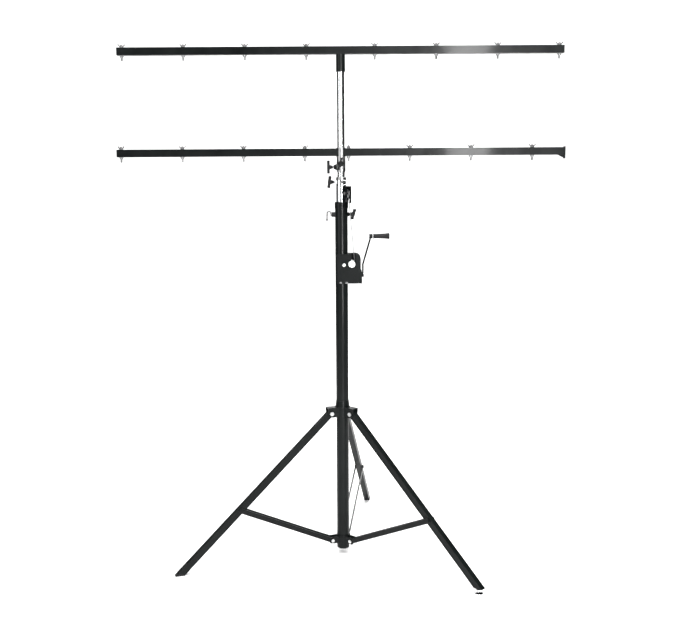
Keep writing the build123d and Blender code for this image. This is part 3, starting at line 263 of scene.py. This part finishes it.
def stranded_wire_gap_shade():
    """Galvanised wire rope: slanting strand lay, with painted shade as dark lines in the gaps between each
    strand.
    """
    finish = Finish("stranded_wire_gap_shade", 0.9, 0.4)
    mapping = finish.add("ShaderNodeMapping")
    mapping.inputs["Rotation"].default_value = (radians(35), radians(20), 0)
    finish.link(finish.coords.outputs["Object"], mapping.inputs["Vector"])
    wave = finish.add("ShaderNodeTexWave", wave_type="BANDS", bands_direction="Z")
    wave.inputs["Scale"].default_value = 180
    wave.inputs["Distortion"].default_value = 0.4
    finish.link(mapping.outputs["Vector"], wave.inputs["Vector"])
    strands_and_gap_shade = wave.outputs["Fac"]
    # painted shade: the gaps between the rope's strand lay are coloured dark, standing in for shade there
    finish.colour(finish.blend(strands_and_gap_shade, (0.04, 0.04, 0.042), (0.22, 0.22, 0.22)))
    finish.roughness(finish.spread(finish.noise(200, 3), 0.3, 0.7, 0.3, 0.5))
    finish.normal(finish.bump(strands_and_gap_shade, 0.8, 0.0004))
    return finish.material


def oiled_bronze():
    """Sintered bronze bush, dark with oil in its pores."""
    finish = Finish("oiled_bronze", 1.0, 0.35)
    pores = finish.noise(700, 4)
    finish.colour(finish.blend(finish.spread(pores, 0.4, 0.6), (0.28, 0.18, 0.09), (0.6, 0.43, 0.24)))
    finish.roughness(finish.spread(finish.noise(60, 3), 0.3, 0.7, 0.28, 0.45))
    finish.normal(finish.bump(pores, 0.2, 0.0003))
    return finish.material


def pale_floor():
    """Seamless pale studio paper with a very faint tooth."""
    finish = Finish("studio_paper", 0.0, 0.8)
    tooth = finish.noise(220, 3)
    finish.colour(finish.blend(tooth, (0.86, 0.86, 0.86), (0.9, 0.9, 0.9)))
    finish.normal(finish.bump(tooth, 0.05, 0.0005))
    return finish.material


FINISHES = {
    "black_paint": powder_coat(),
    "chrome_tube": chrome_tube(),
    "silver_sleeve": satin_sleeve(),
    "black_plastic": moulded_nylon(),
    "zinc": zinc_plate(),
    "bright_steel": polished_steel(),
    "steel_cable": stranded_wire_gap_shade(),
    "bronze": oiled_bronze(),
}
THREADED_GROOVE_SHADE = threaded_zinc_groove_shade()
DULL = dull_zinc()

for subpart in frame["record"]["subparts"]:
    node = frame["nodes"][subpart["node"]]
    for material_slot in node.material_slots:
        material_slot.material = FINISHES[subpart["material_slot"]]

SPECIAL = {
    "t_bar_bolts": THREADED_GROOVE_SHADE,
    "side_bar_bolts": THREADED_GROOVE_SHADE,
    "plunger_pin": DULL,
    "middle_top_bush": FINISHES["silver_sleeve"],
    "cable_wraps": FINISHES["zinc"],
}
for name, finish in SPECIAL.items():
    for material_slot in frame["nodes"][name].material_slots:
        material_slot.material = finish


# Mesh helpers -------------------------------------------------------------------------------------


def piece(name, mesh_builder, slot_name, body, bevel=0.0, subdivisions=0, material=None):
    """A new object from a bmesh, with a finish, riding on a body."""
    mesh = bpy.data.meshes.new(name)
    bmesh.ops.recalc_face_normals(mesh_builder, faces=mesh_builder.faces)
    mesh_builder.to_mesh(mesh)
    mesh_builder.free()
    obj = bpy.data.objects.new(name, mesh)
    bpy.context.scene.collection.objects.link(obj)
    mesh.materials.append(material or FINISHES[slot_name])
    for polygon in mesh.polygons:
        polygon.use_smooth = True
    if bevel:
        rounding = obj.modifiers.new("rounding", "BEVEL")
        rounding.width = bevel
        rounding.segments = 3
        rounding.limit_method = "ANGLE"
        rounding.angle_limit = radians(35)
    if subdivisions:
        smoothing = obj.modifiers.new("smoothing", "SUBSURF")
        smoothing.levels = subdivisions
        smoothing.render_levels = subdivisions
    if bevel or subdivisions:
        weighted = obj.modifiers.new("normals", "WEIGHTED_NORMAL")
        weighted.keep_sharp = False
    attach(obj, body)
    return obj


def lathe(mesh, profile, matrix, steps=40):
    """Add a turned shape: profile points are (distance along local z, radius), ends closed."""
    rings = []
    for along, radius in profile:
        ring = []
        for step in range(steps):
            angle = 2 * pi * step / steps
            ring.append(mesh.verts.new(matrix @ Vector((radius * cos(angle), radius * sin(angle), along))))
        rings.append(ring)
    for lower, upper in zip(rings, rings[1:]):
        for step in range(steps):
            after = (step + 1) % steps
            mesh.faces.new((lower[step], lower[after], upper[after], upper[step]))
    mesh.faces.new(rings[0][::-1])
    mesh.faces.new(rings[-1])


def slab(mesh, outline, thickness, matrix):
    """Add a flat plate whose outline lies in local xy, centred on local z."""
    low = [mesh.verts.new(matrix @ Vector((x, y, -thickness / 2))) for x, y in outline]
    high = [mesh.verts.new(matrix @ Vector((x, y, thickness / 2))) for x, y in outline]
    mesh.faces.new(low[::-1])
    mesh.faces.new(high)
    count = len(outline)
    for step in range(count):
        after = (step + 1) % count
        mesh.faces.new((low[step], low[after], high[after], high[step]))


def facing(origin, outward, up=Vector((0, 0, 1))):
    """A matrix whose local z points outward, local y up and local x along their cross product."""
    z = Vector(outward).normalized()
    x = up.cross(z).normalized()
    y = z.cross(x)
    rows = Matrix((x, y, z)).transposed().to_4x4()
    return Matrix.Translation(Vector(origin)) @ rows


# Knobs --------------------------------------------------------------------------------------------

WING_HALF = 26 * MM
WING_END = 5.5 * MM
HUB_LENGTH = 13 * MM
WING_DEPTH = 11 * MM
SCREW_CORE_R = 3.4 * MM
SCREW_THREAD_R = 3.95 * MM
SCREW_SHANK_R = 3.9 * MM
SCREW_TIP_R = 2.8 * MM
SCREW_TIP_LENGTH = 1 * MM
SCREW_PITCH = 1.25 * MM

# Each knob's screw tip and the start of its hub, in mm from the mast's axis, and its wing's turn in degrees.
KNOBS = {
    "sleeve_side_knob": (15.3, 32, 0),
    "sleeve_front_knob": (15.3, 32, -17.6),
    "mast_knob": (15.3, 30, -27),
    "head_knob": (20.8, 33, 40),
    "collar_lock_knob": (25.7, 38, 90),
}
KNOB_JOINTS = {
    "sleeve_side_knob": "sleeve_side_knob_turn",
    "sleeve_front_knob": "sleeve_front_knob_turn",
    "mast_knob": "mast_knob_turn",
    "head_knob": "head_knob_turn",
    "collar_lock_knob": "collar_knob_turn",
}


def wing_outline():
    """A T-knob's cross wing: thick in the middle, waisted, and swelling to round ends."""
    upper = []
    for step in range(41):
        t = sin(pi / 2 * (-1 + step / 20))
        waist = 0.82 + 0.18 * cos(2 * pi * t)
        end = max(0.0, 1 - ((abs(t) - 0.86) / 0.14) ** 2) ** 0.5 if abs(t) > 0.86 else 1.0
        upper.append((WING_HALF * t, WING_END * waist * end))
    lower = [(x, -y) for x, y in reversed(upper[1:-1])]
    return upper + lower


def knob(name):
    """A T-knob in two pieces: black plastic wing and hub, and a bright screw."""
    tip, hub_start, turn = KNOBS[name]
    joint = joints[KNOB_JOINTS[name]]
    place = facing(joint["pos_m"], joint["axis"])
    hub = hub_start * MM
    wing = hub + HUB_LENGTH
    body = joint["child"]
    plastic = bmesh.new()
    lathe(plastic, [(hub, 5.2 * MM), (hub + 1 * MM, 6 * MM), (hub + 5 * MM, 6.6 * MM),
                    (wing, 9 * MM), (wing + 2 * MM, 8.6 * MM)], place, 32)
    middle = place @ Matrix.Translation((0, 0, wing + WING_DEPTH / 2))
    turned = middle @ Matrix.Rotation(radians(90 + turn), 4, "Z")
    slab(plastic, wing_outline(), WING_DEPTH, turned)
    lathe(plastic, [(wing, 7.6 * MM), (wing + WING_DEPTH * 0.9, 7.2 * MM), (wing + WING_DEPTH, 5.5 * MM)],
          place, 32)
    handle = piece(f"{name}_handle", plastic, "black_plastic", body, bevel=1.2 * MM)
    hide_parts(name)
    screw = bmesh.new()
    profile = [(tip * MM, SCREW_TIP_R), (tip * MM + SCREW_TIP_LENGTH, SCREW_SHANK_R)]
    turns = int((hub - tip * MM - SCREW_TIP_LENGTH) / SCREW_PITCH)
    for step in range(turns):
        along = tip * MM + (1 + 1.25 * step) * MM
        profile.append((along + 0.6 * MM, SCREW_CORE_R))
        profile.append((along + 1.2 * MM, SCREW_THREAD_R))
    profile.append((hub + 2 * MM, SCREW_SHANK_R))
    lathe(screw, profile, place, 24)
    piece(f"{name}_screw", screw, "bright_steel", body)


for knob_name in KNOBS:
    knob(knob_name)


# Wing nuts ----------------------------------------------------------------------------------------


NUT_PROFILE = [(0, 7.6 * MM), (0.8 * MM, 7.8 * MM), (3 * MM, 7 * MM), (8.2 * MM, 5.6 * MM), (9 * MM, 5 * MM)]
EAR_THICK = 3 * MM
T_TURNS = [12, -18, 25, -6, 16, -24, 8, -14]
SIDE_TURNS = [-12, 20, -25, 9, 80, 14, -20, 6]


def ear_outline(side):
    """One ear of a wing nut, leaning outward and rounded at its tip."""
    points = [(3.5, 1.2), (8, 2.6), (11.5, 6.5)]
    tip_x, tip_y, tip_r = 12.4, 11.2, 2.6
    for step in range(9):
        angle = radians(-20 + 22 * step)
        points.append((tip_x + tip_r * cos(angle), tip_y + tip_r * sin(angle)))
    points += [(8.2, 9.5), (6, 7.6), (3.5, 7.2)]
    outline = [(side * x * MM, y * MM) for x, y in points]
    return outline if side > 0 else outline[::-1]


def wing_nuts(node, positions, top, turns, body):
    """All of one bar's wing nuts as a single piece."""
    nuts = bmesh.new()
    for x, turn in zip(positions, turns):
        upright = Matrix.Translation((x, 0, top))
        lathe(nuts, NUT_PROFILE, upright, 28)
        for side in (-1, 1):
            ears = upright @ Matrix.Rotation(radians(turn), 4, "Z") @ Matrix.Rotation(pi / 2, 4, "X")
            slab(nuts, ear_outline(side), EAR_THICK, ears)
    nut_piece = piece(f"{node}_cast", nuts, "zinc", body, bevel=0.7 * MM, material=DULL)
    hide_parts(node)


def solid_centres(node):
    """The centre of each separate solid of a CAD node, from left to right."""
    mesh = bmesh.new()
    mesh.from_mesh(frame["nodes"][node].data)
    bmesh.ops.remove_doubles(mesh, verts=mesh.verts, dist=1e-6)
    left = set(mesh.verts)
    centres = []
    while left:
        island = {left.pop()}
        waiting = list(island)
        while waiting:
            vertex = waiting.pop()
            for edge in vertex.link_edges:
                other = edge.other_vert(vertex)
                if other in left:
                    left.discard(other)
                    island.add(other)
                    waiting.append(other)
        xs = [vertex.co.x for vertex in island]
        centres.append((min(xs) + max(xs)) / 2)
    mesh.free()
    return sorted(centres)


t_bolts = solid_centres("t_bar_bolts")
side_bolts = solid_centres("side_bar_bolts")
wing_nuts("t_bar_nuts", t_bolts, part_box("t_bar")[1].z, T_TURNS, "inner_body")
wing_nuts("side_bar_nuts", side_bolts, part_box("side_bar_left")[1].z, SIDE_TURNS, "side_bar_body")


# Welds and small fixings --------------------------------------------------------------------------


BEAD_R = 1.3 * MM
BEAD_PITCH = 1.6 * MM
BEAD_UP = Vector((0.31, 0.24, 0.92))
HALF_BAR = 15 * MM
SOCKET_WELD_INSET = 0.3 * MM
SLEEVE_WELD_R = 18.2 * MM
SLEEVE_WELD_SWEEP = 104
BAR_WELD_X = 10.4 * MM
COLLAR_WELD_R = 29.3 * MM
COLLAR_WELD_Z = 0.6293
COLLAR_BEAD_R = 1.5 * MM


def bead(mesh, points, radius, ripple=0.16):
    """Add a weld bead, or a plain wire if it has no ripple, along a run of points."""
    steps = 10
    rings = []
    for index, point in enumerate(points):
        ahead = points[min(index + 1, len(points) - 1)]
        behind = points[max(index - 1, 0)]
        place = facing(point, ahead - behind, BEAD_UP)
        swell = radius * (1.0 + ripple * (1 if index % 2 else -1))
        rings.append([mesh.verts.new(place @ Vector((swell * cos(2 * pi * s / steps),
                                                     swell * sin(2 * pi * s / steps), 0)))
                      for s in range(steps)])
    for lower, upper in zip(rings, rings[1:]):
        for s in range(steps):
            after = (s + 1) % steps
            mesh.faces.new((lower[s], lower[after], upper[after], upper[s]))
    mesh.faces.new(rings[0][::-1])
    mesh.faces.new(rings[-1])


def run(start, end, pitch):
    """Points along a straight line."""
    start, end = Vector(start), Vector(end)
    count = max(2, int((end - start).length / pitch))
    return [start.lerp(end, step / count) for step in range(count + 1)]


def ring_points(radius, height, pitch, centre=(0, 0), start=0.0, sweep=360.0):
    """Points round an upright axis."""
    count = max(6, int(radius * radians(sweep) / pitch))
    points = []
    for step in range(count + 1):
        angle = radians(start + sweep * step / count)
        points.append(Vector((centre[0] + radius * cos(angle), centre[1] + radius * sin(angle), height)))
    return points


socket_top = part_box("t_socket")[1].z
welds = bmesh.new()
bead(welds, ring_points(HALF_BAR - SOCKET_WELD_INSET, socket_top - SOCKET_WELD_INSET, BEAD_PITCH), BEAD_R)
piece("t_socket_weld", welds, "black_paint", "inner_body")

bar_low, bar_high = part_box("side_bar_left")
welds = bmesh.new()
for side in (-1, 1):
    start = (0 if side > 0 else 180) - SLEEVE_WELD_SWEEP / 2
    for height in (bar_low.z, bar_high.z):
        arc = ring_points(SLEEVE_WELD_R, height, BEAD_PITCH, start=start, sweep=SLEEVE_WELD_SWEEP)
        bead(welds, arc, BEAD_R)
    x = side * BAR_WELD_X
    for y in (-HALF_BAR, HALF_BAR):
        bead(welds, run((x, y, bar_low.z), (x, y, bar_high.z), BEAD_PITCH), BEAD_R)
piece("side_bar_welds", welds, "black_paint", "side_bar_body")

SLEEVE_BOSS = [(17 * MM, 12.1 * MM), (29 * MM, 8.4 * MM), (30.2 * MM, 8.2 * MM), (30.2 * MM, 4.6 * MM)]
bosses = bmesh.new()
for name in ("sleeve_side_knob_turn", "sleeve_front_knob_turn"):
    place = facing(joints[name]["pos_m"], joints[name]["axis"])
    lathe(bosses, SLEEVE_BOSS, place, 36)
piece("sleeve_bosses", bosses, "black_paint", "side_bar_body")

welds = bmesh.new()
bead(welds, ring_points(COLLAR_WELD_R, COLLAR_WELD_Z, BEAD_PITCH), COLLAR_BEAD_R)
piece("leg_collar_weld", welds, "black_paint", "leg_collar_body")

cable_low, cable_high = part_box("lift_cable_inner_run")
cable_x = (cable_low.x + cable_high.x) / 2
cable_y = (cable_low.y + cable_high.y) / 2
cable_r = (cable_high.x - cable_low.x) / 2
CABLE_PITCH = 0.05
cable = bmesh.new()
cable_points = run((cable_x, cable_y, cable_low.z), (cable_x, cable_y, cable_high.z), CABLE_PITCH)
bead(cable, cable_points, cable_r, 0.0)
cable_run = piece("cable_inner_run", cable, "steel_cable", "column_body")
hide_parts("lift_cable_inner_run")
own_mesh(cable_run)

spring_low, spring_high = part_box("plunger_spring")
SPRING_TURNS = 3
STEPS_PER_TURN = 24
SPRING_WIRE = 0.4 * MM
coil_r = (spring_high.y - spring_low.y) / 2 - SPRING_WIRE
coil_z = (spring_low.z + spring_high.z) / 2
coil_start = spring_high.x - SPRING_WIRE
coil_length = coil_start - spring_low.x - SPRING_WIRE
coil_steps = SPRING_TURNS * STEPS_PER_TURN
coil = []
for step in range(coil_steps + 1):
    angle = 2 * pi * step / STEPS_PER_TURN
    x = coil_start - coil_length * step / coil_steps
    coil.append(Vector((x, coil_r * cos(angle), coil_z + coil_r * sin(angle))))
spring = bmesh.new()
bead(spring, coil, SPRING_WIRE, 0.0)
spring_piece = piece("plunger_coil", spring, "zinc", "plunger_body")
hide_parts("plunger_spring")
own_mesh(spring_piece)

BUSH_SCREW_DROP = 14 * MM
BUSH_SCREW = [(19.5 * MM, 5.5 * MM), (21.5 * MM, 5.5 * MM), (23.4 * MM, 4.6 * MM), (24.4 * MM, 2.8 * MM),
              (24.8 * MM, 0.6 * MM)]
screws = bmesh.new()
bush_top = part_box("middle_top_bush")[1].z
place = facing((0, 0, bush_top - BUSH_SCREW_DROP), (1, 0, 0))
lathe(screws, BUSH_SCREW, place, 28)
piece("top_bush_screw", screws, "zinc", "middle_body", bevel=0.3 * MM)

TAB_PLACES = (-4 * MM, 20 * MM)
TAB_RISE = 4 * MM
TAB_THICK = 1.6 * MM
TAB_OUTLINE = [(-5 * MM, -4 * MM), (5 * MM, -4 * MM), (5 * MM, 1 * MM), (3 * MM, 3 * MM),
               (-3 * MM, 3 * MM), (-5 * MM, 1 * MM)]
tabs = bmesh.new()
winch_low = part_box("winch_frame")[0]
for x in TAB_PLACES:
    flat = facing((x, winch_low.y, winch_low.z + TAB_RISE), (0, -1, 0))
    slab(tabs, TAB_OUTLINE, TAB_THICK, flat)
piece("winch_lower_tabs", tabs, "zinc", "column_body", bevel=0.5 * MM, material=DULL)


# Studio -------------------------------------------------------------------------------------------

FLOOR_FRONT = -9.0
FLOOR_BACK = 4.5
SWEEP_R = 3.0
WALL_TOP = 9.0
HALF_WIDTH = 4.8
SWEEP_STEPS = 24
GLOW = {"From Min": 0.5, "From Max": 0.9, "To Min": 0.85, "To Max": 0.3}


def studio_sheet():
    """A floor that curves up into a backdrop."""
    profile = [(FLOOR_FRONT, 0.0), (FLOOR_BACK, 0.0)]
    for step in range(1, SWEEP_STEPS + 1):
        angle = radians(90 * step / SWEEP_STEPS)
        profile.append((FLOOR_BACK + SWEEP_R * sin(angle), SWEEP_R * (1 - cos(angle))))
    profile.append((FLOOR_BACK + SWEEP_R, WALL_TOP))
    mesh = bmesh.new()
    rows = []
    for x in (-HALF_WIDTH, HALF_WIDTH):
        rows.append([mesh.verts.new((x, y, z)) for y, z in profile])
    for step in range(len(profile) - 1):
        mesh.faces.new((rows[0][step], rows[1][step], rows[1][step + 1], rows[0][step + 1]))
    data = bpy.data.meshes.new("studio_sheet")
    mesh.to_mesh(data)
    mesh.free()
    for polygon in data.polygons:
        polygon.use_smooth = True
    data.materials.append(pale_floor())
    sheet = bpy.data.objects.new("studio_sheet", data)
    bpy.context.scene.collection.objects.link(sheet)


def area_light(name, place, aim, size, power):
    """A soft box of a width and height at a place, aimed at a point."""
    light = bpy.data.lights.new(name, "AREA")
    light.shape = "RECTANGLE"
    light.size, light.size_y = size
    light.energy = power
    obj = bpy.data.objects.new(name, light)
    obj.location = place
    obj.rotation_euler = (Vector(aim) - Vector(place)).to_track_quat("-Z", "Y").to_euler()
    bpy.context.scene.collection.objects.link(obj)


def studio_world():
    """Dark surroundings, darkest at the sides, so that chrome has dark edges."""
    world = bpy.data.worlds.new("studio")
    bpy.context.scene.world = world
    world.use_nodes = True
    nodes = world.node_tree.nodes
    links = world.node_tree.links
    coords = nodes.new("ShaderNodeTexCoord")
    split = nodes.new("ShaderNodeSeparateXYZ")
    links.new(coords.outputs["Generated"], split.inputs["Vector"])
    sideways = nodes.new("ShaderNodeMath")
    sideways.operation = "ABSOLUTE"
    links.new(split.outputs["X"], sideways.inputs[0])
    glow = nodes.new("ShaderNodeMapRange")
    for name, value in GLOW.items():
        glow.inputs[name].default_value = value
    links.new(sideways.outputs["Value"], glow.inputs["Value"])
    links.new(glow.outputs["Result"], nodes["Background"].inputs["Strength"])


studio_sheet()
studio_world()
area_light("key", (0.95, -3.5, 1.9), (0, 0, 1.3), (0.3, 3.0), 200)
area_light("fill", (-3.0, -2.6, 2.2), (0, 0, 1.1), (2.0, 3.0), 70)
area_light("top", (0, -1.4, 5.6), (0, -0.2, 0), (4.0, 4.0), 420)
area_light("backdrop", (0, 2.2, 5.4), (0, 5.5, 1.0), (6.0, 3.0), 520)
bpy.context.scene.view_settings.view_transform = "Standard"

CAMERA_BACK = 3.999
CAMERA_HEIGHT = 1.581
CAMERA_LEFT = 0.008
CAMERA_DOWN = 8.43
CAMERA_ROLL = -0.35
FOCAL = 52.56

camera = bpy.data.cameras.new("camera")
camera.lens = FOCAL
camera.sensor_width = 36.0
camera_object = bpy.data.objects.new("camera", camera)
camera_object.location = (-CAMERA_LEFT, -CAMERA_BACK, CAMERA_HEIGHT)
camera_object.rotation_mode = "XYZ"
tilt = Matrix.Rotation(radians(90 - CAMERA_DOWN), 4, "X")
camera_object.rotation_euler = (tilt @ Matrix.Rotation(radians(CAMERA_ROLL), 4, "Z")).to_euler()
bpy.context.scene.collection.objects.link(camera_object)
bpy.context.scene.camera = camera_object
